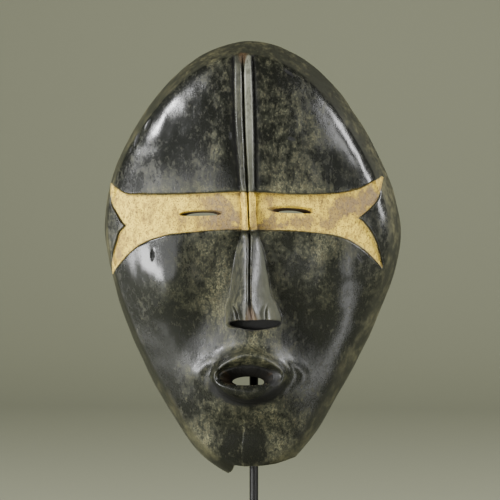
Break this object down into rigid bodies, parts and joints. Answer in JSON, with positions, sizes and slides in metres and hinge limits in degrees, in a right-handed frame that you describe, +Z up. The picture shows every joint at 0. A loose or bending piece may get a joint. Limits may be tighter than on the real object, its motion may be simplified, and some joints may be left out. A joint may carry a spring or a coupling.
{
  "type": "carved wooden face mask on a stand",
  "caption": "Hollow-backed oval wooden face mask with a median ridge, pale eye band, slit eyes and open lips, on a rod stand with a flat base.",
  "frame": {"origin": "centre of the underside of the stand's base", "axes": "+Z up, the mask's face looks along -Y, +X to the viewer's right"},
  "size_m": [0.1644, 0.11, 0.3178],
  "materials": {
    "carved_wood": "dark, waxed and handled patina with a pale clay band",
    "stand_steel": "satin black"
  },
  "bodies": {
    "root": {"mask": "carved_wood", "stand_upright": "stand_steel", "stand_head_bar": "stand_steel", "stand_base": "stand_steel"}
  },
  "joints": []
}
